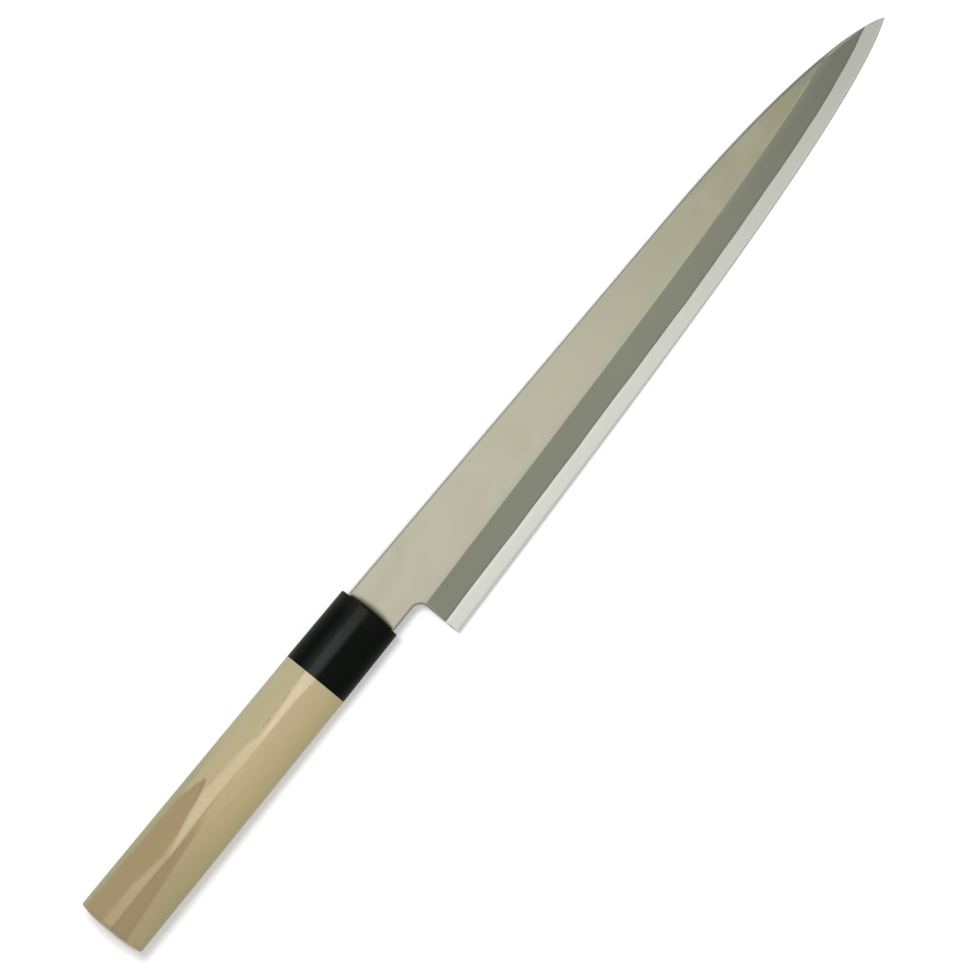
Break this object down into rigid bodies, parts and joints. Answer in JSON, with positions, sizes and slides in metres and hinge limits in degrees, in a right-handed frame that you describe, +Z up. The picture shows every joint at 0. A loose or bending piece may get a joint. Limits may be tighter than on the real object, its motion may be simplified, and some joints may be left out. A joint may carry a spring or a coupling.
{
  "type": "yanagiba knife",
  "caption": "Long slim single-bevel slicing knife with a laminated blade, a hollow-ground back, a black collar and a D-section wooden handle.",
  "frame": {"origin": "on the table under the middle of the laid-down knife's box: the knife lies on its hollow-ground side, on the collar's lower front rim and the cutting edge near the tip", "axes": "+X along the knife towards the tip, +Y towards the spine, +Z up from the table, out of the bevelled side"},
  "size_m": [0.3652, 0.0362, 0.0219],
  "materials": {
    "soft_iron": "fine lengthwise satin grind on the flat side, dull misty grey on the bevel",
    "hard_steel": "bright satin, finely ground",
    "magnolia_wood": "smooth unvarnished magnolia, pale with a darker greenish brown streak",
    "collar_plastic": "polished black plastic",
    "adhesive": "cured adhesive"
  },
  "bodies": {
    "root": {"soft_iron_body": "soft_iron", "hard_steel_edge": "hard_steel", "handle_body": "magnolia_wood", "collar": "collar_plastic", "tang_bedding": "adhesive"}
  },
  "joints": []
}
